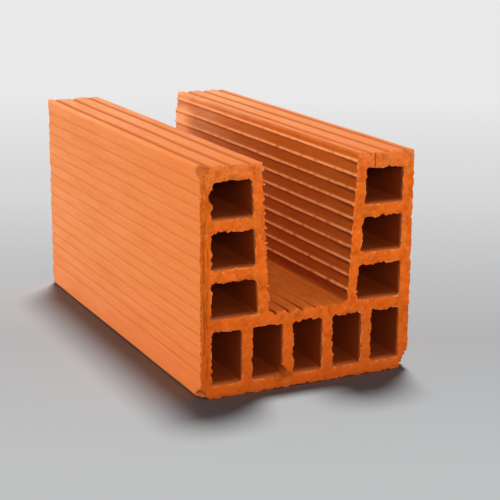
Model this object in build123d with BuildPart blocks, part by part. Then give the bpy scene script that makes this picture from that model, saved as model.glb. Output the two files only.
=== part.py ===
from build123d import *
import math
import os

# U-shaped hollow clay lintel block, fired as one piece.
# Frame: X across the width, Y along the length, Z up.
# The origin is at the middle of the bed face.

# overall size
block_width = 200.0
block_height = 196.0
block_length = 385.0

# channel between the two arms
channel_floor_height = 67.5
arm_foot_width = 63.2
arm_top_width = 55.5
channel_foot_radius = 4.0

# walls and webs around the cells
outer_wall = 10.5
bed_wall = 10.5
floor_wall = 10.5
inner_wall = 10.0
arm_top_wall = 13.5
base_web = 10.0
arm_web = 10.5
base_cell_count = 5
arm_cell_count = 3
cell_corner_radius = 2.8

# edges that the die rounds off
bed_edge_radius = 2.5
arm_outer_edge_radius = 3.0
arm_inner_edge_radius = 2.0

# key ribs on the channel faces of the arms, measured up the leaning face
rib_first = 11.0
rib_pitch = 12.3
rib_height = 1.5
rib_crest = 1.3
rib_under_flank = 0.6
rib_upper_flank = 1.8
rib_root = 0.5
rib_edge_margin = 5.0

# shallow key grooves of the die on the outer faces, arm tops and channel floor
side_groove_first = 23.5
side_groove_pitch = 10.6
side_groove_width = 4.4
side_groove_depth = 0.7
side_groove_edge_margin = 6.0
top_groove_first = 8.0
top_groove_pitch = 18.0
top_groove_width = 9.0
top_groove_depth = 1.5
top_groove_edge_margin = 7.0
floor_groove_pitch = 12.5
floor_groove_width = 2.6
floor_groove_depth = 0.9
floor_groove_edge_margin = 1.2

# what follows from those sizes
half_width = block_width / 2
arm_height = block_height - channel_floor_height
foot_half_gap = half_width - arm_foot_width
top_half_gap = half_width - arm_top_width
arm_lean = math.atan2(arm_foot_width - arm_top_width, arm_height)
arm_slope_length = arm_height / math.cos(arm_lean)

cell_room = block_width - 2 * outer_wall - (base_cell_count - 1) * base_web
base_cell_width = cell_room / base_cell_count
base_cell_height = channel_floor_height - floor_wall - bed_wall
base_cell_middle = bed_wall + base_cell_height / 2

arm_cell_room = arm_height - arm_top_wall - (arm_cell_count - 1) * arm_web
arm_cell_height = arm_cell_room / arm_cell_count

rib_count = 1 + int((arm_slope_length - rib_first - rib_edge_margin) / rib_pitch)
side_groove_room = block_height - side_groove_first - side_groove_edge_margin
side_groove_count = 1 + int(side_groove_room / side_groove_pitch)
top_groove_room = arm_top_width - top_groove_first - top_groove_edge_margin
top_groove_count = 1 + int(top_groove_room / top_groove_pitch)
floor_groove_room = foot_half_gap - channel_foot_radius - floor_groove_edge_margin
floor_groove_pairs = 1 + int((floor_groove_room - floor_groove_pitch / 2) / floor_groove_pitch)


def arm_face_x(height):
    """Distance of an arm's channel face from the middle plane at one height."""
    return foot_half_gap + (height - channel_floor_height) * math.tan(arm_lean)


def arm_cell_corners(side, level):
    """Corners of one arm cell, whose inner side leans with the channel face."""
    low = channel_floor_height + level * (arm_cell_height + arm_web)
    high = low + arm_cell_height
    wall = inner_wall / math.cos(arm_lean)
    outer = half_width - outer_wall
    corners = [
        (arm_face_x(low) + wall, low),
        (outer, low),
        (outer, high),
        (arm_face_x(high) + wall, high),
    ]
    return [(side * x, z) for x, z in corners]


def rib_corners(side, index):
    """Corners of one key rib, steep on its underside, rooted in the arm face."""
    middle = rib_first + index * rib_pitch
    profile = [
        (-rib_crest / 2 - rib_under_flank, 0.0),
        (-rib_crest / 2, rib_height),
        (rib_crest / 2, rib_height),
        (rib_crest / 2 + rib_upper_flank, 0.0),
        (rib_crest / 2 + rib_upper_flank, -rib_root),
        (-rib_crest / 2 - rib_under_flank, -rib_root),
    ]
    corners = []
    for along, out in profile:
        up_face = middle + along
        x = foot_half_gap + up_face * math.sin(arm_lean) - out * math.cos(arm_lean)
        z = channel_floor_height + up_face * math.cos(arm_lean) + out * math.sin(arm_lean)
        corners.append((side * x, z))
    return corners


def groove_corners(width, depth):
    """A V groove that opens along +Y of its own place, cut slightly proud."""
    return [(-width / 2, 0.0), (-width / 2, depth), (width / 2, depth), (width / 2, 0.0), (0.0, -depth)]


with BuildPart() as lintel_block:
    # the U outline with its rounded edges
    with BuildSketch(Plane.XZ) as profile:
        with BuildLine():
            Polyline(
                (-half_width, 0),
                (half_width, 0),
                (half_width, block_height),
                (top_half_gap, block_height),
                (foot_half_gap, channel_floor_height),
                (-foot_half_gap, channel_floor_height),
                (-top_half_gap, block_height),
                (-half_width, block_height),
                close=True,
            )
        make_face()
        corners_by_height = profile.vertices().group_by(Axis.Y)
        arm_tops = corners_by_height[-1].sort_by(Axis.X)
        arm_outer_edges = ShapeList([arm_tops[0], arm_tops[-1]])
        arm_inner_edges = ShapeList([arm_tops[1], arm_tops[-2]])
        channel_feet = corners_by_height[1]
        bed_edges = corners_by_height[0]
        fillet(channel_feet, radius=channel_foot_radius)
        fillet(bed_edges, radius=bed_edge_radius)
        fillet(arm_outer_edges, radius=arm_outer_edge_radius)
        fillet(arm_inner_edges, radius=arm_inner_edge_radius)

        # key ribs on both channel faces
        for side in (-1, 1):
            for index in range(rib_count):
                Polygon(*rib_corners(side, index), align=None)

        # key grooves on the outer faces
        for index in range(side_groove_count):
            height = side_groove_first + index * side_groove_pitch
            with Locations(Location((half_width, height), -90), Location((-half_width, height), 90)):
                Polygon(*groove_corners(side_groove_width, side_groove_depth), align=None, mode=Mode.SUBTRACT)

        # key grooves along the arm tops
        for index in range(top_groove_count):
            x = half_width - top_groove_first - index * top_groove_pitch
            with Locations((x, block_height), (-x, block_height)):
                Polygon(*groove_corners(top_groove_width, top_groove_depth), align=None, mode=Mode.SUBTRACT)

        # key grooves along the channel floor, in pairs about the middle
        with Locations((0, channel_floor_height)):
            with GridLocations(floor_groove_pitch, 1, 2 * floor_groove_pairs, 1):
                Polygon(*groove_corners(floor_groove_width, floor_groove_depth), align=None, mode=Mode.SUBTRACT)
    extrude(amount=block_length / 2, both=True)

    # the cells, open at both ends: one row in the base, one column in each arm
    with BuildSketch(Plane.XZ) as cells:
        with Locations((0, base_cell_middle)):
            with GridLocations(base_cell_width + base_web, 1, base_cell_count, 1):
                Rectangle(base_cell_width, base_cell_height)
        for side in (-1, 1):
            for level in range(arm_cell_count):
                Polygon(*arm_cell_corners(side, level), align=None)
        fillet(cells.vertices(), radius=cell_corner_radius)
    extrude(amount=block_length / 2, both=True, mode=Mode.SUBTRACT)

lintel_block.part.label = "lintel_block"

os.makedirs("parts", exist_ok=True)
export_step(lintel_block.part, "parts/lintel_block.step")
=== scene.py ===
import math

import bpy
from bpy.props import FloatProperty, FloatVectorProperty, IntProperty, PointerProperty
from mathutils import Matrix, Vector, kdtree
from mathutils.geometry import delaunay_2d_cdt


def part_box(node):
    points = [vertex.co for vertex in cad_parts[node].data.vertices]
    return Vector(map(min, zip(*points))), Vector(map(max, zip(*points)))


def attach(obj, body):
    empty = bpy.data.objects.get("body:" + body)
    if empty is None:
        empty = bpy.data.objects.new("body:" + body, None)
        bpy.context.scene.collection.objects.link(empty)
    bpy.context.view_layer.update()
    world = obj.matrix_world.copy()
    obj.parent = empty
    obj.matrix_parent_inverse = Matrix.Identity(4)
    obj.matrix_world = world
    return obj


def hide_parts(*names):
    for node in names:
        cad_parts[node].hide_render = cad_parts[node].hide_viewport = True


# A U-shaped hollow clay lintel block: extruded, cut to length by a wire and fired as one piece.
# The frame is in metres: X across the width, Y along the length, Z up from the bed face.

bl_info = {
    "name": "U-shaped lintel block",
    "version": (1, 0, 0),
    "blender": (4, 5, 0),
    "location": "3D View > Sidebar > Lintel block",
    "description": "Makes a fired clay lintel block round its packed model, and its studio floor",
    "category": "Add Mesh",
}

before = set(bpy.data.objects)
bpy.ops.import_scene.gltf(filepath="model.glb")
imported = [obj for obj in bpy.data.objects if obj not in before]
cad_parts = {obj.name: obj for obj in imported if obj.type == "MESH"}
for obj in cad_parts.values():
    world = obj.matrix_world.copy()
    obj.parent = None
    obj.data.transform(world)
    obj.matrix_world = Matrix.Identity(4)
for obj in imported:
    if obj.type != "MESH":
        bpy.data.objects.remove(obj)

MM = 0.001
CAD_NODE = "lintel_block"
BODY = "root"
PIECE = "fired_clay_block"

# overall size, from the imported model
LOW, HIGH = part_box(CAD_NODE)
WIDTH = HIGH.x - LOW.x
LENGTH = HIGH.y - LOW.y
HEIGHT = HIGH.z - LOW.z


def linear(code):
    """Linear red, green and blue of an sRGB hex colour."""
    shares = [int(code[i:i + 2], 16) / 255 for i in (1, 3, 5)]
    return [s / 12.92 if s <= 0.04045 else ((s + 0.055) / 1.055) ** 2.4 for s in shares]


def length(name, size, description):
    """A length that a user may change, with its default in millimetres."""
    return FloatProperty(name=name, description=description, default=size * MM, min=0.0,
                         precision=4, unit="LENGTH", subtype="DISTANCE")


def share(name, amount, description):
    """A plain number that a user may change."""
    return FloatProperty(name=name, description=description, default=amount, min=0.0)


def count(name, amount, description):
    """A whole number that a user may change."""
    return IntProperty(name=name, description=description, default=amount, min=1)


def colour(name, code, description):
    """A colour that a user may change, with its default as an sRGB hex code."""
    return FloatVectorProperty(name=name, description=description, default=linear(code), size=3,
                               min=0.0, max=1.0, subtype="COLOR")


class LintelWalls(bpy.types.PropertyGroup):
    """Walls, webs and rounded edges of the section."""

    floor_height: length("Channel floor", 67.5, "Height of the channel floor above the bed face")
    foot_width: length("Arm foot", 63.2, "Width of an arm at the channel floor")
    top_width: length("Arm top", 55.5, "Width of an arm at its top")
    outer_wall: length("Outer wall", 10.5, "Wall between the cells and the outer faces")
    bed_wall: length("Bed wall", 10.5, "Wall under the base cells")
    floor_wall: length("Floor wall", 10.5, "Wall between the base cells and the channel")
    inner_wall: length("Inner wall", 10, "Wall between the arm cells and the channel")
    top_wall: length("Top wall", 13.5, "Wall over the highest arm cell")
    base_web: length("Base web", 10, "Web between two base cells")
    arm_web: length("Arm web", 10.5, "Web between two arm cells")
    base_cells: count("Base cells", 5, "Cells side by side in the base")
    arm_cells: count("Arm cells", 3, "Cells one above the other in an arm")
    cell_radius: length("Cell corner", 2.8, "Radius in the corners of a cell")
    foot_radius: length("Channel foot", 4, "Radius where the channel floor meets an arm")
    bed_radius: length("Bed edge", 2.5, "Radius of the edges of the bed face")
    outer_radius: length("Outer top edge", 3, "Radius of an arm's outer top edge")
    inner_radius: length("Inner top edge", 2, "Radius of an arm's inner top edge")


class LintelKeys(bpy.types.PropertyGroup):
    """Ribs and grooves that the die leaves for plaster and concrete to hold on to."""

    rib_first: length("First rib", 11, "Slope distance from the channel floor to the first rib")
    rib_pitch: length("Rib pitch", 12.3, "Slope distance between two ribs")
    rib_height: length("Rib height", 1.5, "How far a rib stands out of the channel face")
    rib_crest: length("Rib crest", 1.3, "Width of the flat crest of a rib")
    rib_under: length("Rib underside", 0.6, "Run of the steep flank under a rib")
    rib_upper: length("Rib back", 1.8, "Run of the shallow flank over a rib")
    side_first: length("First side groove", 23.5, "Height of the lowest groove of an outer face")
    side_pitch: length("Side groove pitch", 10.6, "Height between two grooves of an outer face")
    side_width: length("Side groove width", 4.4, "Width of a groove of an outer face")
    side_depth: length("Side groove depth", 0.7, "Depth of a groove of an outer face")
    top_first: length("First top groove", 8, "Distance of the first arm-top groove from the outer face")
    top_pitch: length("Top groove pitch", 18, "Distance between two grooves of an arm top")
    top_width: length("Top groove width", 9, "Width of a groove of an arm top")
    top_depth: length("Top groove depth", 1.5, "Depth of a groove of an arm top")
    floor_pitch: length("Floor groove pitch", 12.5, "Distance between two grooves of the channel floor")
    floor_width: length("Floor groove width", 2.6, "Width of a groove of the channel floor")
    floor_depth: length("Floor groove depth", 0.9, "Depth of a groove of the channel floor")
    edge_margin: length("Edge margin", 6, "Plain strip that is left at an outer edge")


class LintelWear(bpy.types.PropertyGroup):
    """What drying, firing, the wire and handling did to the block."""

    wave_depth: length("Wave depth", 0.35, "How far the walls wander from straight")
    wave_size: length("Wave size", 110, "Length of such a wander")
    drag_depth: length("Drag depth", 0.3, "Depth of the streaks that the die drags along the block")
    drag_size: length("Drag size", 9, "Width of such a streak")
    tear_depth: length("Tear depth", 1, "How far the wire tears the rims of the ends")
    tear_size: length("Tear size", 9, "Width of a tear")
    tear_reach: length("Tear reach", 5, "How deep the tears go in from an end")
    tooth_depth: length("Tooth depth", 0.75, "Depth of the small teeth on the rims")
    tooth_size: length("Tooth size", 3.2, "Width of such a tooth")
    cut_depth: length("Cut depth", 0.7, "Depth of the hollows in the wire-cut ends")
    cut_size: length("Cut size", 6, "Width of such a hollow")
    rim_round: length("Rim rounding", 0.5, "How far the rims of the ends are worn back")
    rib_wear: length("Rib wear", 0.6, "How far rib crests are worn down and grooves filled in places")
    nick_share: share("Nick share", 0.035, "Share of the rim points of the ends that have a nick")
    nick_reach: length("Nick reach", 2.6, "Reach of the largest of those nicks")
    crack_depth: length("Crack depth", 0.9, "Depth of the cracks in the front end")
    furrow_depth: length("Furrow depth", 1.8, "How much deeper floor grooves are torn behind the front end")
    seed: count("Seed", 7, "Picks the pattern of waves, tears and nicks")


class LintelClay(bpy.types.PropertyGroup):
    """Colours of the fired clay, with painted shade and highlights among them."""

    skin: colour("Skin", "#da793b", "Smooth skin that the die leaves")
    skin_deep: colour("Deep skin", "#cc6428", "Skin in the streaks and grooves")
    # dirt and painted shade in the grooves and under the ribs, and stains in the channel
    dirt: colour("Dirt", "#a84c14", "What gathers in the grooves and under the ribs")
    # pale dust patches, and painted light in the back half of the channel
    skin_dust: colour("Dust", "#eea472", "Pale dust on the skin, more of it towards the back end")
    cut: colour("Cut", "#e46618", "Wire-cut ends")
    cut_ochre: colour("Ochre cut", "#d46e1c", "Yellower clay in the wire-cut ends")
    cut_deep: colour("Deep cut", "#b84c0a", "Hollows and grit of the wire-cut ends")
    low: colour("Low skin", "#e4642a", "Redder skin towards the bed")
    # painted shade: the ends darker towards the bed
    low_cut: colour("Low cut", "#b84a0e", "Redder clay of the ends towards the bed")
    # burrs, and painted highlights on the rib crests, the rims of the ends and the top of the ends
    burr: colour("Burr", "#f09c60", "Thin burrs and worn and lit crests")
    # painted shade: the channel's skin is darker than the outer skin, standing in for the shade in the
    # channel
    channel: colour("Channel skin", "#b45313", "Skin inside the channel, which the dust did not reach")
    speck: colour("Speck", "#93400c", "Dark specks and pits of the wire-cut ends")
    layer: colour("Layer", "#b05a10", "Layers that show in the cut of the left wall")
    broken: colour("Fracture", "#aa5418", "Faces where clay was knocked off")
    # painted shade: the dark inside of the cells, and the dark strip along the foot of each arm
    hollow: colour("Hollow", "#8c3608", "Inside of the cells, where hardly any kiln gas passed")
    # painted shade at the bottom of the cracks and of the torn furrows
    crack: colour("Crack", "#7a3208", "Bottom of a crack")


class LintelStage(bpy.types.PropertyGroup):
    """Floor and light."""

    # painted light: the floor is paler further behind the block, and a little cool round it
    near: colour("Near floor", "#8f9294", "Floor under and round the block")
    front: colour("Front floor", "#9b9d9e", "Floor in front, towards the camera")
    behind: colour("Floor behind", "#aeaeae", "Floor half a metre behind the block")
    far: colour("Far floor", "#bebebe", "Floor far behind the block")
    sky: share("Sky", 0.17, "Strength of the even light from all round")
    top_light: share("Top lamp", 0.88, "Light of the broad lamp overhead, on the block alone")
    side_light: share("Side lamp", 0.53, "Light of the low lamp on the left, on the block alone")
    front_light: share("Front lamp", 0.44, "Light of the low lamp in front, on the block alone")
    back_light: share("Back lamp", 0.2, "Light of the low lamp behind, on the block alone")
    floor_light: share("Floor lamp", 1.5, "Light of the high lamp that falls on the floor alone")


# Steps of the mesh. The photograph shows tears of about 2 mm, so the rims have points closer than that.
RIM_STEP = 2.0 * MM
CELL_STEP = 1.6 * MM
FACE_STEP = 1.9 * MM
RIM_GAP = 0.9 * MM
ARC_STEP = math.radians(18)
GROOVE_STEPS = 3
# sides of the outer outline that bound the channel: an arm's face, the floor and the other arm's face
CHANNEL_SIDES = (3, 4, 5)
STATIONS = 40
END_CROWDING = 0.86
SHARP_ANGLE = math.radians(38)
FURROW_LENGTH = 45 * MM
# how far right of the middle plane the furrows reach
TORN_UP_TO = 12 * MM
# width of the strip under a rib that is marked like a groove, for dirt and painted shade
UNDER_RIB = 1.2 * MM
# width of the worn strip along the rims of an end
RIM_WIDTH = 2.4 * MM
# a face belongs to an end where its normal leans this much towards it
END_FACING = 0.35
# roughness of the noise that shapes the relief
RELIEF_ROUGHNESS = 0.62
# grit of the knocked-off faces, and how much clay has to be gone for a face to look fully broken
KNOCK_GRIT = 3.0 * MM
KNOCK_SEED = 0
FULLY_BROKEN = 0.5 * MM
# how far a nick's centre lies off the clay, as a share of its reach
NICK_LIFT = 0.45

# Hairline cracks of the front end: how deep and dark each is, up to 1, and its (x, z) points in millimetres.
CRACK_FLANK = 0.6 * MM
CRACKS = (
    (1, ((61.1, 195.5), (60.5, 191), (61.3, 187), (60.4, 183))),
    (0.6, ((20.3, 66.8), (19.6, 63), (20.1, 58))),
    (0.5, ((-97, 184), (-97.6, 171), (-96.7, 158))),
    (0.6, ((-96, 152), (-97.1, 131), (-96.2, 118), (-96.9, 100))),
    (0.55, ((-93.4, 128), (-92.6, 112))),
    (0.5, ((-93.2, 92), (-94.4, 74), (-93.5, 58))),
    (0.65, ((-96.6, 84), (-95.7, 62), (-96.8, 36))),
    (0.5, ((-93, 36), (-94.2, 18))),
)

# Knocks on the front end, in millimetres: the x and z of the centre of the ball that each took out, how
# far that centre lies before the end, and the ball's reach. Every centre lies outside the clay.
KNOCKS = (
    (-104, 200, 1, 14.5),
    (-105, -2, 0, 13),
    (113, -1, 8, 25),
    (-86.3, 170.5, 0, 6.8),
    (-27, 14, 0, 7.4),
    (-18.5, 8.5, 1.4, 4.8),
    (-30.6, 70.5, 0, 4.8),
    (-17.4, 70.5, 0, 5.2),
    (-5.5, 70, 0, 3.8),
    (7.2, 70, 0, 3.4),
    (-24.5, 62.5, 1.2, 2.5),
    (-11, 61.5, 1.5, 3.4),
)

# The camera stands in front and to the left. Places in metres, angles in degrees.
CAMERA_PLACE = Vector((-0.5315, -1.1629, 0.4104))
CAMERA_AZIMUTH = math.radians(-26.118)
CAMERA_ELEVATION = math.radians(14.844)
CAMERA_ROLL = math.radians(0.441)
CAMERA_LENS = 99.06

# how far the floor reaches on each side in metres, and the linear grey of the wall behind it
FLOOR_REACH = 9.0
BACKDROP = 0.8


def add(tree, kind, inputs=None, **settings):
    """Adds one node with its settings, sets or links its inputs, and returns it."""
    node = tree.nodes.new(kind)
    for name, value in settings.items():
        setattr(node, name, value)
    for key, value in (inputs or {}).items():
        socket = pick(node.inputs, key)
        for source in value if isinstance(value, list) else [value]:
            if isinstance(source, bpy.types.Node):
                source = pick(source.outputs, 0)
            if isinstance(source, bpy.types.NodeSocket):
                tree.links.new(source, socket)
            else:
                socket.default_value = source
    return node


def pick(sockets, key):
    """The socket in use with that name, or in that place among those in use."""
    used = [s for s in sockets if s.enabled]
    return used[key] if isinstance(key, int) else next(s for s in used if s.name == key)


def declare(tree, kinds):
    """Gives a tree one input for each name, of that socket kind, and one geometry output."""
    for name, kind in kinds.items():
        tree.interface.new_socket(name, in_out="INPUT", socket_type="NodeSocket" + kind)
    tree.interface.new_socket("Geometry", in_out="OUTPUT", socket_type="NodeSocketGeometry")


def arc(before, corner, after, radius):
    """Points of the arc that rounds one corner of an outline."""
    arrive = (corner - before).normalized()
    leave = (after - corner).normalized()
    turn = math.atan2(arrive.x * leave.y - arrive.y * leave.x, arrive.dot(leave))
    start = corner - arrive * radius * math.tan(abs(turn) / 2)
    centre = corner + (leave - arrive).normalized() * radius / math.cos(turn / 2)
    spoke = start - centre
    steps = max(2, math.ceil(abs(turn) / ARC_STEP))
    points = []
    for i in range(steps + 1):
        angle = turn * i / steps
        cos, sin = math.cos(angle), math.sin(angle)
        points.append(centre + Vector((cos * spoke.x - sin * spoke.y, sin * spoke.x + cos * spoke.y)))
    return points


def outline(corners, marks, step):
    """Points (x, z, crest, side) round a closed outline whose corners are (x, z, radius).

    marks[i] lists the profiles on the side after corner i, each as its distance along the side and
    its points (along, out, crest), in the order of travel.
    """
    places = [Vector(corner[:2]) for corner in corners]
    afters = places[1:] + places[:1]
    arcs = [arc(places[i - 1], places[i], afters[i], corners[i][2]) for i in range(len(corners))]
    points = []
    for i, bend in enumerate(arcs):
        points += [(p.x, p.y, 0.0, i) for p in bend]
        along = (afters[i] - places[i]).normalized()
        out = Vector((along.y, -along.x))
        stops = []
        for distance, profile in sorted(marks.get(i, [])):
            for shift, height, crest in profile:
                place = places[i] + along * (distance + shift) + out * height
                stops.append((place.x, place.y, crest))
        end = arcs[(i + 1) % len(arcs)][0]
        for stop in stops + [(end.x, end.y, 0.0)]:
            here = points[-1]
            pieces = math.ceil(math.dist(here[:2], stop[:2]) / step)
            for k in range(1, pieces):
                part = k / pieces
                between = Vector(here[:2]).lerp(Vector(stop[:2]), part)
                points.append((between.x, between.y, 0.0, i))
            points.append((*stop, i))
        points.pop()
    return points


def groove(width, depth):
    """Profile of a soft groove, one wave wide, with its depth as a mark below zero."""
    profile = []
    for i in range(-GROOVE_STEPS, GROOVE_STEPS + 1):
        part = i / GROOVE_STEPS
        share_down = (1 + math.cos(math.pi * part)) / 2
        profile.append((part * width / 2, -share_down * depth, -share_down))
    return profile


def rib(keys, upwards):
    """Profile of a key rib, up its face or down it, with the strip under it marked below zero for dirt and
    painted shade.
    """
    half = keys.rib_crest / 2
    profile = [
        (-half - keys.rib_under - UNDER_RIB, 0.0, -0.4),
        (-half - keys.rib_under, 0.0, -0.7),
        (-half, keys.rib_height, 1.0),
        (half, keys.rib_height, 1.0),
        (half + 0.5 * keys.rib_upper, 0.5 * keys.rib_height, 0.8),
        (half + keys.rib_upper, 0.0, 0.0),
    ]
    return profile if upwards else [(-along, out, crest) for along, out, crest in reversed(profile)]


def spaced(first, pitch, room):
    """Distances from the first, a pitch apart, for as long as there is room."""
    return [first + i * pitch for i in range(1 + int((room - first) / pitch + 1e-6))]


def outer_outline(walls, keys):
    """The U outline with its ribs and grooves, counter-clockwise from the left bed edge."""
    half = WIDTH / 2
    foot = half - walls.foot_width
    top = half - walls.top_width
    slope = math.hypot(top - foot, HEIGHT - walls.floor_height)
    corners = [
        (-half, 0.0, walls.bed_radius),
        (half, 0.0, walls.bed_radius),
        (half, HEIGHT, walls.outer_radius),
        (top, HEIGHT, walls.inner_radius),
        (foot, walls.floor_height, walls.foot_radius),
        (-foot, walls.floor_height, walls.foot_radius),
        (-top, HEIGHT, walls.inner_radius),
        (-half, HEIGHT, walls.outer_radius),
    ]
    side = groove(keys.side_width, keys.side_depth)
    crown = groove(keys.top_width, keys.top_depth)
    floor = groove(keys.floor_width, keys.floor_depth)
    heights = spaced(keys.side_first, keys.side_pitch, HEIGHT - keys.edge_margin)
    crowns = spaced(keys.top_first, keys.top_pitch, walls.top_width - keys.edge_margin)
    ribs = spaced(keys.rib_first, keys.rib_pitch, slope - keys.edge_margin)
    furrows = spaced(keys.floor_pitch / 2, keys.floor_pitch, foot - walls.foot_radius)
    marks = {
        1: [(height, side) for height in heights],
        2: [(distance, crown) for distance in crowns],
        3: [(slope - distance, rib(keys, upwards=False)) for distance in ribs],
        4: [(foot + sign * distance, floor) for distance in furrows for sign in (-1, 1)],
        5: [(distance, rib(keys, upwards=True)) for distance in ribs],
        6: [(walls.top_width - distance, crown) for distance in crowns],
        7: [(HEIGHT - height, side) for height in heights],
    }
    return outline(corners, marks, RIM_STEP)


def cell_outlines(walls):
    """The outlines of the base cells and of the leaning arm cells."""
    half = WIDTH / 2
    outer = half - walls.outer_wall
    room = 2 * outer - (walls.base_cells - 1) * walls.base_web
    wide = room / walls.base_cells
    low, high = walls.bed_wall, walls.floor_height - walls.floor_wall
    loops = []
    for i in range(walls.base_cells):
        left = -outer + i * (wide + walls.base_web)
        loops.append([(left, low), (left + wide, low), (left + wide, high), (left, high)])

    arm_height = HEIGHT - walls.floor_height
    taper = (walls.foot_width - walls.top_width) / arm_height
    wall = walls.inner_wall * math.hypot(1.0, taper)
    tall = (arm_height - walls.top_wall - (walls.arm_cells - 1) * walls.arm_web) / walls.arm_cells
    for i in range(walls.arm_cells):
        low = walls.floor_height + i * (tall + walls.arm_web)
        high = low + tall
        inner_low = half - walls.foot_width + taper * (low - walls.floor_height) + wall
        inner_high = inner_low + taper * tall
        corners = [(inner_low, low), (outer, low), (outer, high), (inner_high, high)]
        loops.append(corners)
        loops.append([(-x, z) for x, z in reversed(corners)])
    return [outline([(x, z, walls.cell_radius) for x, z in loop], {}, CELL_STEP) for loop in loops]


def mark(mesh, name, values):
    """Stores one number for each point of a mesh."""
    mesh.attributes.new(name, "FLOAT", "POINT").data.foreach_set("value", values)


def crack_points():
    """Points (x, z, depth) along the hairline cracks and beside them."""
    points = []
    for strength, crack in CRACKS:
        corners = [Vector(corner) * MM for corner in crack]
        for start, end in zip(corners, corners[1:]):
            beside = (end - start).orthogonal().normalized() * CRACK_FLANK
            steps = math.ceil((end - start).length / FACE_STEP)
            for i in range(steps):
                middle = start.lerp(end, i / steps)
                points.append((middle.x, middle.y, strength))
                points += [(p.x, p.y, 0.0) for p in (middle - beside, middle + beside)]
    return points


def level_crossings(loops, z):
    """Where a level line crosses the outlines, from left to right."""
    found = []
    for loop in loops:
        for a, b in zip(loop, loop[1:] + loop[:1]):
            if (a[1] > z) != (b[1] > z):
                found.append(a[0] + (z - a[1]) * (b[0] - a[0]) / (b[1] - a[1]))
    return sorted(found)


def face_points(loops, tree):
    """Evenly staggered points (x, z) of the clay between the outlines, clear of the points in the tree."""
    points = []
    row_step = FACE_STEP * math.sqrt(3) / 2
    for row in range(1, int(HEIGHT / row_step)):
        z = row * row_step
        crossings = level_crossings(loops, z)
        shift = FACE_STEP / 2 * (row % 2)
        for left, right in zip(crossings[::2], crossings[1::2]):
            first = math.ceil((left + RIM_GAP - shift) / FACE_STEP)
            last = math.floor((right - RIM_GAP - shift) / FACE_STEP)
            for i in range(first, last + 1):
                x = i * FACE_STEP + shift
                if tree.find((x, z, 0.0))[2] > RIM_GAP:
                    points.append((x, z))
    return points


def point_tree(points):
    """A search tree of (x, z) points."""
    tree = kdtree.KDTree(len(points))
    for i, point in enumerate(points):
        tree.insert((point[0], point[1], 0.0), i)
    tree.balance()
    return tree


def section_mesh(walls, keys):
    """The filled section in the plane y = 0, facing +Y, with what each point is as attributes."""
    loops = [outer_outline(walls, keys)] + cell_outlines(walls)
    rims = point_tree([point for loop in loops for point in loop])

    # one row for each point: x, z, cell, crest, crack, channel
    rows = []
    outlines = []
    for loop in loops:
        cell = 0.0 if loop is loops[0] else 1.0
        outlines.append(list(range(len(rows), len(rows) + len(loop))))
        for x, z, crest, side in loop:
            in_channel = 1.0 if loop is loops[0] and side in CHANNEL_SIDES else 0.0
            rows.append((x, z, cell, crest, 0.0, in_channel))
    cracks = [p for p in crack_points() if rims.find((p[0], p[1], 0.0))[2] > RIM_GAP]
    rows += [(x, z, 0.0, 0.0, depth, 0.0) for x, z, depth in cracks]
    rows += [(x, z, 0.0, 0.0, 0.0, 0.0) for x, z in face_points(loops, point_tree(rows))]

    places = [Vector(row[:2]) for row in rows]
    inside_with_holes = 2
    points, _, triangles, sources, _, _ = delaunay_2d_cdt(places, [], outlines, inside_with_holes, 1e-7)
    mesh = bpy.data.meshes.new("lintel section")
    # reversed, because a triangle that turns left in X and Z faces -Y
    mesh.from_pydata([(p.x, 0.0, p.y) for p in points], [], [tuple(reversed(t)) for t in triangles])
    for column, name in ((2, "cell"), (3, "crest"), (4, "crack"), (5, "channel")):
        mark(mesh, name, [rows[source[0]][column] for source in sources])
    mark(mesh, "rim", [rims.find((p.x, p.y, 0.0))[2] for p in points])
    return mesh


def knock_mesh():
    """One loose point for each knock on the front end, with its reach as an attribute."""
    mesh = bpy.data.meshes.new("knocks")
    mesh.from_pydata([(x * MM, LOW.y - before * MM, z * MM) for x, z, before, _ in KNOCKS], [], [])
    mark(mesh, "reach", [reach * MM for *_, reach in KNOCKS])
    return mesh


def total(tree, *terms):
    """The sum of some terms, each of them the product of its factors."""
    whole = None
    for product, *factors in terms:
        for factor in factors:
            product = add(tree, "ShaderNodeMath", {0: product, 1: factor}, operation="MULTIPLY")
        if whole is not None:
            product = add(tree, "ShaderNodeMath", {0: whole, 1: product}, operation="ADD")
        whole = product
    return whole


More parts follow.
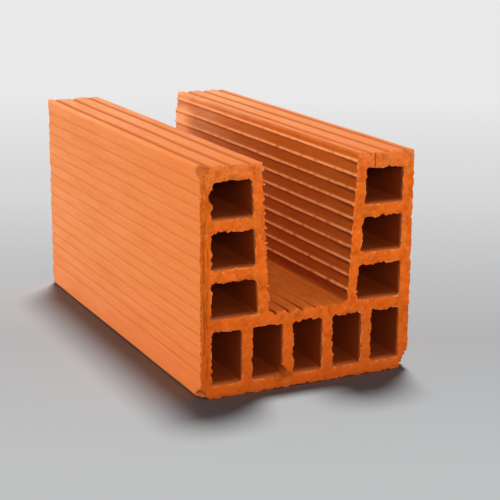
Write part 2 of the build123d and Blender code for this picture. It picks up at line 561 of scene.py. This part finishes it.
def knock_tree():
    """Pushes what lies near a centre back to a ragged ball round it, and marks it as broken."""
    tree = bpy.data.node_groups.new("Knocked-off edges", "GeometryNodeTree")
    declare(tree, {"Geometry": "Geometry", "Centres": "Geometry"})
    given = add(tree, "NodeGroupInput").outputs
    place = add(tree, "GeometryNodeInputPosition")
    reach_name = add(tree, "GeometryNodeInputNamedAttribute", {"Name": "reach"})
    nearest = add(tree, "GeometryNodeSampleNearest",
                  {"Geometry": given["Centres"], "Sample Position": place})
    centre, reach = [
        add(tree, "GeometryNodeSampleIndex",
            {"Geometry": given["Centres"], "Value": value, "Index": nearest}, data_type=data_type)
        for value, data_type in ((place, "FLOAT_VECTOR"), (reach_name, "FLOAT"))
    ]
    away = add(tree, "ShaderNodeVectorMath", {0: place, 1: centre}, operation="SUBTRACT")
    distance = add(tree, "ShaderNodeVectorMath", {0: away}, operation="LENGTH")
    direction = add(tree, "ShaderNodeVectorMath", {0: away}, operation="NORMALIZE")
    grit = add(tree, "ShaderNodeTexNoise",
               {"Vector": place, "W": KNOCK_SEED, "Scale": 1 / KNOCK_GRIT}, noise_dimensions="4D")
    ragged = add(tree, "ShaderNodeMapRange", {"Value": grit, "To Min": 0.7, "To Max": 1.25})
    inside = total(tree, (ragged, reach), (-1, distance))
    push = add(tree, "ShaderNodeMath", {0: inside, 1: 0}, operation="MAXIMUM")
    offset = add(tree, "ShaderNodeVectorMath", {"Vector": direction, "Scale": push}, operation="SCALE")

    before = add(tree, "GeometryNodeInputNamedAttribute", {"Name": "broken"})
    gone = add(tree, "ShaderNodeMapRange", {"Value": push, "From Max": FULLY_BROKEN})
    broken = add(tree, "ShaderNodeMath", {0: before, 1: gone}, operation="MAXIMUM")
    stored = add(tree, "GeometryNodeStoreNamedAttribute",
                 {"Geometry": given["Geometry"], "Name": "broken", "Value": broken})
    moved = add(tree, "GeometryNodeSetPosition", {"Geometry": stored, "Offset": offset})
    add(tree, "NodeGroupOutput", {"Geometry": moved})
    return tree


def swept(tree, given):
    """The section drawn out to the block's length in steps that crowd towards the ends."""
    leading_name = "leading"
    front = add(tree, "GeometryNodeFlipFaces", {"Mesh": given["Section"]})
    first = add(tree, "GeometryNodeStoreNamedAttribute",
                {"Geometry": given["Section"], "Name": leading_name, "Value": True},
                data_type="BOOLEAN", domain="FACE")
    start = add(tree, "GeometryNodeRepeatInput")
    end = add(tree, "GeometryNodeRepeatOutput")
    start.pair_with_output(end)
    tree.links.new(given["Stations"], start.inputs["Iterations"])
    tree.links.new(first.outputs[0], start.inputs["Geometry"])
    leading = add(tree, "GeometryNodeInputNamedAttribute", {"Name": leading_name}, data_type="BOOLEAN")
    # the step is linked, because an unlinked offset follows the normals
    step = add(tree, "ShaderNodeCombineXYZ", {"Y": 1})
    grown = add(tree, "GeometryNodeExtrudeMesh",
                {"Mesh": start.outputs["Geometry"], "Selection": leading, "Offset": step,
                 "Offset Scale": 1, "Individual": False}, mode="FACES")
    marked = add(tree, "GeometryNodeStoreNamedAttribute",
                 {"Geometry": grown.outputs["Mesh"], "Name": leading_name, "Value": grown.outputs["Top"]},
                 data_type="BOOLEAN", domain="FACE")
    tree.links.new(marked.outputs[0], end.inputs["Geometry"])
    both = add(tree, "GeometryNodeJoinGeometry", {"Geometry": [front, end.outputs["Geometry"]]})
    closed = add(tree, "GeometryNodeMergeByDistance", {"Geometry": both, "Distance": 0.01 * MM})
    plain = add(tree, "GeometryNodeRemoveAttribute", {"Geometry": closed, "Name": leading_name})

    # step number -> share of the length -> place along Y, with the steps closer near both ends
    x, y, z = add(tree, "ShaderNodeSeparateXYZ", {0: add(tree, "GeometryNodeInputPosition")}).outputs
    part = add(tree, "ShaderNodeMath", {0: y, 1: given["Stations"]}, operation="DIVIDE")
    swing = add(tree, "ShaderNodeMath", {0: total(tree, (part, 2 * math.pi))}, operation="SINE")
    centred = total(tree, (part,), (-1 / (2 * math.pi), given["End crowding"], swing), (-0.5,))
    along = total(tree, (centred, given["Length"]))
    target = add(tree, "ShaderNodeCombineXYZ", {"X": x, "Y": along, "Z": z})
    return add(tree, "GeometryNodeSetPosition", {"Geometry": plain, "Position": target})


def relieved(tree, given, block):
    """The block with its waves, drag streaks, torn rims, cut ends, worn ribs and cracks."""
    place = add(tree, "GeometryNodeInputPosition")
    x, y, _ = add(tree, "ShaderNodeSeparateXYZ", {0: place}).outputs
    normal = add(tree, "GeometryNodeInputNormal")
    normal_y = add(tree, "ShaderNodeSeparateXYZ", {0: normal}).outputs["Y"]
    cell, crest, crack, rim, channel = [
        add(tree, "GeometryNodeInputNamedAttribute", {"Name": name})
        for name in ("cell", "crest", "crack", "rim", "channel")
    ]

    def grain(size_name, detail, stretch=(1, 1, 1), salt=0):
        """Noise whose grain has the size of that input, drawn out along an axis by a small factor."""
        scale = add(tree, "ShaderNodeMath", {0: 1, 1: given[size_name]}, operation="DIVIDE")
        vector = add(tree, "ShaderNodeVectorMath", {0: place, 1: stretch}, operation="MULTIPLY")
        seed = add(tree, "ShaderNodeMath", {0: given["Seed"], 1: salt}, operation="ADD")
        return add(tree, "ShaderNodeTexNoise",
                   {"Vector": vector, "W": seed, "Scale": scale, "Detail": detail,
                    "Roughness": RELIEF_ROUGHNESS}, noise_dimensions="4D")

    def relief(size_name, detail, low, high, least=0, most=1, **shape):
        """Such a grain, made to run from least where the noise is low to most where it is high."""
        noise = grain(size_name, detail, **shape)
        return add(tree, "ShaderNodeMapRange",
                   {"Value": noise, "From Min": low, "From Max": high, "To Min": least, "To Max": most})

    # square to the walls, and nothing on the ends
    level = add(tree, "ShaderNodeVectorMath", {0: normal, 1: (1, 0, 1)}, operation="MULTIPLY")
    wall = add(tree, "ShaderNodeVectorMath", {0: level}, operation="NORMALIZE")

    # the whole section wanders a little along the length
    wander = add(tree, "ShaderNodeVectorMath",
                 {0: grain("Wave size", 1).outputs["Color"], 1: (2, 0, 2), 2: (-1, 0, -1)},
                 operation="MULTIPLY_ADD")
    wave = add(tree, "ShaderNodeVectorMath", {"Vector": wander, "Scale": given["Wave depth"]},
               operation="SCALE")

    # how near a point is to an end of the block, and on an end to its rims; the teeth are on the very rims
    from_middle = add(tree, "ShaderNodeMath", {0: y}, operation="ABSOLUTE")
    from_end = total(tree, (0.5, given["Length"]), (-1, from_middle))
    near_end, near_rim = [
        add(tree, "ShaderNodeMapRange", {"Value": value, "From Max": reach, "To Min": 1, "To Max": 0},
            interpolation_type="SMOOTHSTEP")
        for value, reach in ((from_end, given["Tear reach"]), (rim, RIM_WIDTH))
    ]
    at_rim = add(tree, "ShaderNodeMath", {0: near_end, 1: 4}, operation="POWER")
    # the wire pulls clay off the edges that it leaves, at the top and the left of each cell
    left_behind = add(tree, "ShaderNodeVectorMath", {0: wall, 1: (0.7, 0, -0.7)}, operation="DOT_PRODUCT")
    pulled = add(tree, "ShaderNodeMapRange",
                 {"Value": left_behind, "From Min": -0.3, "From Max": 0.6, "To Min": 0.65, "To Max": 1.3})
    at_cell = add(tree, "ShaderNodeMix", {"Factor": cell, "A": 0.6, "B": pulled})
    # the left grooves of the channel floor are torn deeper behind the front end
    behind_front, on_left = [
        add(tree, "ShaderNodeMapRange", {"Value": value, "From Min": none, "From Max": full})
        for value, none, full in ((y, LOW.y + FURROW_LENGTH, LOW.y), (x, TORN_UP_TO, 0))
    ]
    groove_mark = add(tree, "ShaderNodeMath", {0: crest, 1: 0}, operation="MINIMUM")

    drawn, drawn_less, drawn_least = [(1, scale, 1) for scale in (0.05, 0.25, 0.6)]
    out = total(
        tree,
        # the outer faces lie a wave deep inside the die's size
        (-0.7, given["Wave depth"]),
        (0.7, cell, given["Wave depth"]),
        # streaks of the die
        (relief("Drag size", 3, 0.25, 0.75, -1, 0.3, stretch=drawn, salt=11), given["Drag depth"]),
        # tears of the wire
        (relief("Tear size", 5, 0.36, 0.64, -1, stretch=drawn_least, salt=23),
         near_end, at_cell, given["Tear depth"]),
        (relief("Tooth size", 2, 0.35, 0.65, -1, salt=29), at_rim, given["Tooth depth"]),
        # a crest, marked above zero, is worn down in stretches, and a groove, below zero, is filled
        (relief("Drag size", 2, 0.3, 0.6, 0, -1, stretch=drawn_less, salt=37),
         crest, given["Rib wear"]),
        (groove_mark, channel, behind_front, on_left, given["Furrow depth"]),
    )
    wall_move = add(tree, "ShaderNodeVectorMath", {0: wall, 1: out, 2: wave}, operation="MULTIPLY_ADD")

    # the ends: hollows, worn rims and, in front, cracks, all towards the middle of the block
    in_front = add(tree, "ShaderNodeMath", {0: y, 1: 0}, operation="LESS_THAN")
    front_crack = total(tree, (crack, in_front))
    end_depth = total(
        tree,
        (relief("Cut size", 4, 0.3, 0.72, salt=51), given["Cut depth"]),
        (near_rim, given["Rim rounding"]),
        (front_crack, given["Crack depth"]),
    )
    facing = add(tree, "ShaderNodeMath", {0: normal_y}, operation="ABSOLUTE")
    on_end = add(tree, "ShaderNodeMath", {0: facing, 1: END_FACING}, operation="GREATER_THAN")
    sign = add(tree, "ShaderNodeMath", {0: normal_y}, operation="SIGN")
    end_move = add(tree, "ShaderNodeCombineXYZ", {"Y": total(tree, (on_end, sign, -1, end_depth))})
    offset = add(tree, "ShaderNodeVectorMath", {0: wall_move, 1: end_move}, operation="ADD")

    # how far a wall faces up; the painted shade in the cells reaches deeper on their up-facing floors
    upward = add(tree, "ShaderNodeSeparateXYZ", {0: wall}).outputs["Z"]
    for name, value in (("cut", on_end), ("crack", front_crack), ("upward", upward)):
        block = add(tree, "GeometryNodeStoreNamedAttribute",
                    {"Geometry": block, "Name": name, "Value": value})
    return add(tree, "GeometryNodeSetPosition", {"Geometry": block, "Offset": offset})


def nick_centres(tree, given, block):
    """Points just off the rims of the ends, picked at random, each with its reach."""
    cut, rim = [
        add(tree, "GeometryNodeInputNamedAttribute", {"Name": name})
        for name in ("cut", "rim")
    ]
    at_rim = add(tree, "ShaderNodeMath", {0: rim, 1: 0.1 * MM}, operation="LESS_THAN")
    chance = total(tree, (at_rim, cut, given["Nick share"]))
    chosen = add(tree, "FunctionNodeRandomValue", {"Probability": chance, "Seed": given["Seed"]},
                 data_type="BOOLEAN")
    size = add(tree, "FunctionNodeRandomValue", {"Min": 0.35, "Max": 1, "Seed": given["Seed"]})
    reach = total(tree, (size, given["Nick reach"]))
    normal = add(tree, "GeometryNodeInputNormal")
    off = add(tree, "ShaderNodeVectorMath", {"Vector": normal, "Scale": total(tree, (reach, NICK_LIFT))},
              operation="SCALE")
    stored = add(tree, "GeometryNodeStoreNamedAttribute",
                 {"Geometry": block, "Name": "reach", "Value": reach})
    lifted = add(tree, "GeometryNodeSetPosition", {"Geometry": stored, "Selection": chosen, "Offset": off})
    return add(tree, "GeometryNodeMeshToPoints", {"Mesh": lifted, "Selection": chosen})


def block_tree(inputs):
    """Geometry Nodes that turn the filled section into the extruded, cut, fired and handled block."""
    tree = bpy.data.node_groups.new("Extruded lintel block", "GeometryNodeTree")
    special = {"Stations": "Int", "Seed": "Int", "Low corner": "Vector", "High corner": "Vector",
               "Knocks": "Object", "Clay": "Material"}
    declare(tree, {"Section": "Geometry", **{name: special.get(name, "Float") for name in inputs}})
    given = add(tree, "NodeGroupInput").outputs
    block = relieved(tree, given, swept(tree, given))

    knocks = knock_tree()
    centres = add(tree, "GeometryNodeObjectInfo", {"Object": given["Knocks"]}).outputs["Geometry"]
    nicks = nick_centres(tree, given, block)
    for points in (centres, nicks.outputs[0]):
        knocked = add(tree, "GeometryNodeGroup", node_tree=knocks)
        tree.links.new(block.outputs[0], knocked.inputs["Geometry"])
        tree.links.new(points, knocked.inputs["Centres"])
        block = knocked

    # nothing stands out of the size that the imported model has
    place = add(tree, "GeometryNodeInputPosition")
    for corner, operation in (("Low corner", "MAXIMUM"), ("High corner", "MINIMUM")):
        place = add(tree, "ShaderNodeVectorMath", {0: place, 1: given[corner]}, operation=operation)
    kept = add(tree, "GeometryNodeSetPosition", {"Geometry": block, "Position": place})
    smooth = add(tree, "GeometryNodeSetShadeSmooth", {"Geometry": kept, "Shade Smooth": True})
    real = add(tree, "GeometryNodeRealizeInstances", {"Geometry": smooth})
    dressed = add(tree, "GeometryNodeSetMaterial", {"Geometry": real, "Material": given["Clay"]})
    add(tree, "NodeGroupOutput", {"Geometry": dressed})
    return tree


def fired_clay(colours, floor_height, channel_top):
    """Fired clay, extruded and wire cut.

    Brick earth leaves the die with a close, dusty skin that is drawn out along the block, and the
    wire tears the ends open to a deeper, grittier orange. Firing leaves it dry and quite matt.
    """
    # the colour holds painted shade in the cells, the channel, the grooves and the cracks, and painted
    # highlights on crests, rims and the tops of the ends
    material = bpy.data.materials.new("Fired clay, extruded and wire cut")
    material.use_nodes = True
    tree = material.node_tree
    shader = tree.nodes["Principled BSDF"]
    shader.inputs["Roughness"].default_value = 0.92
    shader.inputs["IOR"].default_value = 1.45
    shader.inputs["Specular IOR Level"].default_value = 0.12
    clay = {name: (*getattr(colours, name), 1) for name in LintelClay.__annotations__}

    place = add(tree, "ShaderNodeTexCoord").outputs["Object"]
    x, y, z = add(tree, "ShaderNodeSeparateXYZ", {0: place}).outputs
    beside = add(tree, "ShaderNodeMath", {0: x}, operation="ABSOLUTE")
    from_middle = add(tree, "ShaderNodeMath", {0: y}, operation="ABSOLUTE")
    # drawn out along the block by the die, less and less, and standing up in the layers of a wall
    drawn, drawn_less, smeared, upright = [
        add(tree, "ShaderNodeMapping", {"Vector": place, "Scale": scale})
        for scale in ((1, 0.045, 1), (1, 0.25, 1), (1, 0.15, 1), (1, 0.4, 0.07))
    ]
    cell, crest, crack, channel, cut_end, broken, rim, upward = [
        add(tree, "ShaderNodeAttribute", attribute_name=name).outputs["Fac"]
        for name in ("cell", "crest", "crack", "channel", "cut", "broken", "rim", "upward")
    ]

    # Marks of the clay: direction, grain in millimetres, detail, roughness, the noise at which a mark
    # begins and is whole, and how much of it there is then. Real grit and pores are half a millimetre
    # or less. They are drawn as coarse as they need to be to show.
    grains = {
        "streaks": (drawn, 2, 4, 0.55, 0.45, 0.7, 0.4),
        "patches": (smeared, 12, 4, 0.6, 0.15, 0.85, 1),
        "stains": (drawn_less, 3.5, 4, 0.65, 0.45, 0.65, 0.6),
        "edge stains": (drawn_less, 9, 3, 0.55, 0.35, 0.6, 0.9),
        "worn and lit crests": (place, 9, 3, 0.55, 0.25, 0.5, 0.75),
        "ochre": (place, 15, 3, 0.55, 0.48, 0.6, 0.6),
        "scraped": (place, 6, 2, 0.55, 0.56, 0.68, 0.3),
        "layers": (upright, 3, 3, 0.55, 0.4, 0.62, 0.8),
        "grit": (place, 1.6, 3, 0.7, 0.45, 0.72, 0.55),
        "hollows": (place, 7, 5, 0.6, 0.46, 0.66, 0.75),
        "specks": (place, 3.4, 3, 0.6, 0.6, 0.72, 0.5),
        "burrs": (place, 5, 3, 0.55, 0.5, 0.6, 1),
        "pores": (place, 0.9, 3, 0.65, 0, 1, 1),
        "scratches": (drawn, 1.3, 3, 0.55, 0, 1, 1),
        "tears": (place, 2.2, 4, 0.7, 0, 1, 1),
    }
    # Parts of the block: a value, where in it the part begins and is whole, and its share there.
    parts = {
        "arm tops": (z, HIGH.z - 4 * MM, HIGH.z - 1 * MM, 1),
        "inner edges": (beside, channel_top + 7 * MM, channel_top + 2 * MM, 1),
        "low skin": (z, 70 * MM, 0, 0.35),
        "floor": (z, floor_height + 2 * MM, floor_height + 0.4 * MM, 1),
        "foot": (z, floor_height + 17 * MM, floor_height + 7 * MM, 0.8),
        "back": (y, LOW.y, HIGH.y, 0.59),
        "back half": (y, LOW.y / 4, HIGH.y, 2.1),
        "front": (y, LOW.y + FURROW_LENGTH, LOW.y, 1.1),
        "right": (x, 0, 14 * MM, 0.85),
        "left wall": (x, LOW.x + 10 * MM, LOW.x + 6 * MM, 1),
        "grooves": (crest, 0, -0.4, 1),
        "groove bottoms": (crest, -0.1, -0.9, 1),
        "crests": (crest, 0.1, 0.7, 1),
        # painted shade towards the bed and painted light towards the top of the ends
        "shaded low cut": (z, 110 * MM, 0, 0.7),
        "lit high cut": (z, 172 * MM, HIGH.z, 0.25),
        "rims": (rim, 1.1 * MM, 0.1 * MM, 0.5),
        "cell floors": (upward, 0.5, 0.9, 1),
        "in wall": (from_middle, LENGTH / 2 - 0.5 * MM, LENGTH / 2 - 5.5 * MM, 1),
        "in floor": (from_middle, LENGTH / 2 - 0.5 * MM, LENGTH / 2 - 13 * MM, 1),
    }
    for name, (vector, size, detail, roughness, *ramp) in grains.items():
        noise = add(tree, "ShaderNodeTexNoise",
                    {"Vector": vector, "Scale": 1 / (size * MM), "Detail": detail, "Roughness": roughness})
        parts[name] = (noise, *ramp)
    on = {
        name: add(tree, "ShaderNodeMapRange",
                  {"Value": value, "From Min": begin, "From Max": whole, "To Max": most})
        for name, (value, begin, whole, most) in parts.items()
    }

    def laid(colour, layers):
        """A colour under its layers, each given as a colour and the factors whose product is its share."""
        for over, *factors in layers:
            colour = add(tree, "ShaderNodeMix",
                         {"Factor": total(tree, factors), "A": colour, "B": over}, data_type="RGBA")
        return colour

    on_floor = total(tree, (on["floor"], channel))
    off_floor = total(tree, (1,), (-1, on_floor))
    # pale dust, thickest on the arm tops and growing towards the back end; in the channel only its back
    # half, as painted light
    paler_to_back = total(tree, (on["back"],), (0.03,))
    thick = total(tree, (0.75, on["arm tops"]), (1,))
    channel_light_reach = add(tree, "ShaderNodeMix", {"Factor": channel, "A": 1, "B": on["back half"]})
    # dirt and painted shade in grooves and under ribs: little on the outer faces and the right of the
    # channel floor, more elsewhere
    groove_darkening = total(tree, (0.6, on["arm tops"]), (0.6, channel), (0.2,))
    dirty = total(tree, (groove_darkening,), (-1, groove_darkening, on_floor, on["right"]))
    skin = laid(clay["skin"], [
        # painted shade of the channel
        (clay["channel"], channel),
        (clay["low"], on["low skin"]),
        # the channel floor is worn paler than the arm faces, and painted shade darkens the foot of each arm
        (clay["cut_ochre"], 0.45, on_floor),
        (clay["hollow"], on["foot"], off_floor, channel),
        (clay["skin_deep"], on["streaks"]),
        # hands and concrete stain the channel faces and the arms' inner top edges
        (clay["dirt"], on["stains"], channel),
        (clay["skin_deep"], on["arm tops"], on["inner edges"], on["edge stains"]),
        (clay["skin_dust"], on["patches"], paler_to_back, thick, channel_light_reach),
        # dirt and painted shade in the groove bottoms and under the ribs
        (clay["dirt"], on["groove bottoms"], dirty),
        # furrows torn open behind the front end, darkened with painted shade
        (clay["crack"], dirty, on["front"], channel, on["grooves"]),
    ])
    cut = laid(clay["cut"], [
        (clay["cut_ochre"], on["ochre"]),
        (clay["burr"], on["scraped"]),
        # the left wall is layered upright
        (clay["layer"], on["layers"], on["left wall"]),
        # painted shade and light: the ends darker towards the bed and paler towards the top
        (clay["low_cut"], on["shaded low cut"]),
        (clay["burr"], on["lit high cut"]),
        (clay["cut_deep"], on["grit"]),
        (clay["cut_deep"], on["hollows"]),
        (clay["speck"], on["specks"]),
        # burrs along the rims of the cells, partly a painted edge highlight
        (clay["burr"], on["rims"], on["burrs"]),
    ])
    # painted shade in the cells: their walls turn dark within a few millimetres of an end, their floors
    # further in
    depth = add(tree, "ShaderNodeMix",
                {"Factor": on["cell floors"], "A": on["in wall"], "B": on["in floor"]})
    off_end = total(tree, (1,), (-1, cut_end))
    surface = laid(skin, [
        (cut, cut_end),
        # painted highlight on the crests and upper flanks of the ribs, in patches, partly wear
        (clay["burr"], on["crests"], on["worn and lit crests"]),
        (clay["broken"], 0.75, broken),
        (clay["hollow"], cell, depth, off_end),
        # painted shade in the cracks
        (clay["crack"], crack),
    ])
    tree.links.new(pick(surface.outputs, 0), shader.inputs["Base Color"])

    # relief too fine for the mesh: pores, and scratches on the skin or tears on the ends
    coarse = add(tree, "ShaderNodeMix", {"Factor": cut_end, "A": on["scratches"], "B": on["tears"]})
    scored = add(tree, "ShaderNodeBump", {"Strength": 0.6, "Distance": 0.5 * MM, "Height": coarse})
    porous = add(tree, "ShaderNodeBump",
                 {"Strength": 0.5, "Distance": 0.3 * MM, "Height": on["pores"], "Normal": scored})
    tree.links.new(porous.outputs[0], shader.inputs["Normal"])
    return material


def make_block(scene):
    """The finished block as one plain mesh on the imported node's place."""
    walls, keys, wear = scene.lintel_walls, scene.lintel_keys, scene.lintel_wear
    knocks = bpy.data.objects.new("knocks", knock_mesh())
    scene.collection.objects.link(knocks)
    block = bpy.data.objects.new(PIECE, section_mesh(walls, keys))
    scene.collection.objects.link(block)

    inputs = {
        "Length": LENGTH,
        "Stations": STATIONS,
        "End crowding": END_CROWDING,
        "Low corner": LOW,
        "High corner": HIGH,
        "Knocks": knocks,
        "Clay": fired_clay(scene.lintel_clay, walls.floor_height, WIDTH / 2 - walls.top_width),
    }
    for key in LintelWear.__annotations__:
        inputs[wear.bl_rna.properties[key].name] = getattr(wear, key)
    modifier = block.modifiers.new("Extruded lintel block", "NODES")
    modifier.node_group = block_tree(inputs)
    for item in modifier.node_group.interface.items_tree:
        if item.in_out == "INPUT" and item.name in inputs:
            modifier[item.identifier] = inputs[item.name]

    graph = bpy.context.evaluated_depsgraph_get()
    mesh = bpy.data.meshes.new_from_object(block.evaluated_get(graph), depsgraph=graph)
    mesh.set_sharp_from_angle(angle=SHARP_ANGLE)
    block.modifiers.remove(modifier)
    section = block.data
    block.data = mesh
    mesh.name = PIECE
    bpy.data.meshes.remove(section)
    bpy.data.objects.remove(knocks)
    return block


def floor_material(stage):
    """Matt studio paper without grain, paler further behind the block, which paints in the fall-off of the
    studio light.
    """
    material = bpy.data.materials.new("Matt studio paper")
    material.use_nodes = True
    tree = material.node_tree
    shader = tree.nodes["Principled BSDF"]
    shader.inputs["Roughness"].default_value = 1.0
    shader.inputs["Specular IOR Level"].default_value = 0.0
    place = add(tree, "ShaderNodeTexCoord").outputs["Object"]
    away = (-math.sin(CAMERA_AZIMUTH), math.cos(CAMERA_AZIMUTH), 0.0)
    behind = add(tree, "ShaderNodeVectorMath", {0: place, 1: away}, operation="DOT_PRODUCT")
    # distance in metres behind the middle of the block, below zero in front of it
    # painted light: paler further behind, and cool near the block against the orange light it throws on the
    # floor
    stops = ((-0.35, stage.front), (-0.05, stage.near), (0.53, stage.behind), (1.43, stage.far))
    first, last = stops[0][0], stops[-1][0]
    part = add(tree, "ShaderNodeMapRange", {"Value": behind, "From Min": first, "From Max": last})
    ramp = add(tree, "ShaderNodeValToRGB", {0: part})
    elements = ramp.color_ramp.elements
    for distance, shade in stops[1:-1]:
        elements.new((distance - first) / (last - first))
    for element, (_, shade) in zip(elements, stops):
        element.color = (*shade, 1.0)
    tree.links.new(ramp.outputs[0], shader.inputs["Base Color"])
    return material


def light_group(name, thing, state):
    """A light group that holds one thing alone (INCLUDE) or all but that thing (EXCLUDE)."""
    group = bpy.data.collections.new(name)
    group.objects.link(thing)
    group.collection_objects[0].light_linking.link_state = state
    return group


def make_stage(scene):
    """Floor, even sky, five lamps and the camera."""
    stage = scene.lintel_stage
    mesh = bpy.data.meshes.new("floor")
    signs = ((-1, -1), (1, -1), (1, 1), (-1, 1))
    mesh.from_pydata([(x * FLOOR_REACH, y * FLOOR_REACH, 0.0) for x, y in signs], [], [(0, 1, 2, 3)])
    mesh.materials.append(floor_material(stage))
    floor = bpy.data.objects.new("floor", mesh)
    scene.collection.objects.link(floor)

    world = bpy.data.worlds.new("Even sky")
    world.use_nodes = True
    background = world.node_tree.nodes["Background"]
    background.inputs["Color"].default_value = (1.0, 1.0, 1.0, 1.0)
    # past the floor's edge the camera sees a pale wall, which gives no light
    seen = add(world.node_tree, "ShaderNodeLightPath").outputs["Is Camera Ray"]
    strength = add(world.node_tree, "ShaderNodeMix", {"Factor": seen, "A": stage.sky, "B": BACKDROP},
                   data_type="FLOAT")
    world.node_tree.links.new(strength.outputs[0], background.inputs["Strength"])
    scene.world = world

    # the low lamps would throw long shadows, so the floor has a lamp of its own
    on_floor = light_group("Lit by the floor lamp", floor, "INCLUDE")
    off_floor = light_group("Lit by the other lamps", floor, "EXCLUDE")
    for name, direction, light, angle, lit in (
        ("floor lamp", (0.18, 0.28, 0.94), stage.floor_light, 15, on_floor),
        ("top lamp", (0.0, 0.0, 1.0), stage.top_light, 150, off_floor),
        ("side lamp", (-0.9, 0.35, 0.14), stage.side_light, 20, off_floor),
        ("front lamp", (-0.2, -0.93, 0.3), stage.front_light, 20, off_floor),
        ("back lamp", (0.6, 0.75, 0.2), stage.back_light, 20, off_floor),
    ):
        lamp = bpy.data.lights.new(name, "SUN")
        # a face square to the lamp gets that much light
        lamp.energy = light * math.pi
        lamp.angle = math.radians(angle)
        lamp_object = bpy.data.objects.new(name, lamp)
        lamp_object.rotation_euler = Vector(direction).to_track_quat("Z", "Y").to_euler()
        lamp_object.light_linking.receiver_collection = lit
        scene.collection.objects.link(lamp_object)

    lens = bpy.data.cameras.new("camera")
    lens.lens = CAMERA_LENS
    camera = bpy.data.objects.new("camera", lens)
    camera.matrix_world = (
        Matrix.Translation(CAMERA_PLACE)
        @ Matrix.Rotation(CAMERA_AZIMUTH, 4, "Z")
        @ Matrix.Rotation(math.pi / 2 - CAMERA_ELEVATION, 4, "X")
        @ Matrix.Rotation(CAMERA_ROLL, 4, "Z")
    )
    scene.collection.objects.link(camera)
    scene.camera = camera
    scene.view_settings.view_transform = "Standard"


class LINTEL_OT_block(bpy.types.Operator):
    """Makes the fired clay lintel block"""

    bl_idname = "lintel.block"
    bl_label = "Lintel block"

    def execute(self, context):
        block = make_block(context.scene)
        if not block.data.polygons:
            raise RuntimeError("the lintel block came out empty")
        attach(block, BODY)
        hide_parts(CAD_NODE)
        return {"FINISHED"}


class LINTEL_OT_stage(bpy.types.Operator):
    """Makes the floor, the light and the camera"""

    bl_idname = "lintel.stage"
    bl_label = "Studio floor and light"

    def execute(self, context):
        make_stage(context.scene)
        return {"FINISHED"}


class LINTEL_PT_panel(bpy.types.Panel):
    """Shows the values of the block and the stage, and the buttons that make them"""

    bl_idname = "LINTEL_PT_panel"
    bl_label = "Lintel block"
    bl_space_type = "VIEW_3D"
    bl_region_type = "UI"
    bl_category = "Lintel block"

    def draw(self, context):
        for name, group in GROUPS.items():
            column = self.layout.column()
            for key in group.__annotations__:
                column.prop(getattr(context.scene, name), key)
        self.layout.operator("lintel.block")
        self.layout.operator("lintel.stage")


GROUPS = {
    "lintel_walls": LintelWalls,
    "lintel_keys": LintelKeys,
    "lintel_wear": LintelWear,
    "lintel_clay": LintelClay,
    "lintel_stage": LintelStage,
}
CLASSES = (LINTEL_OT_block, LINTEL_OT_stage, LINTEL_PT_panel)


def register():
    for name, group in GROUPS.items():
        bpy.utils.register_class(group)
        setattr(bpy.types.Scene, name, PointerProperty(type=group))
    for item in CLASSES:
        bpy.utils.register_class(item)


def unregister():
    for item in reversed(CLASSES):
        bpy.utils.unregister_class(item)
    for name, group in reversed(GROUPS.items()):
        delattr(bpy.types.Scene, name)
        bpy.utils.unregister_class(group)


def main():
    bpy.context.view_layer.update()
    register()
    bpy.ops.lintel.stage()
    bpy.ops.lintel.block()


if __name__ == "__main__":
    main()
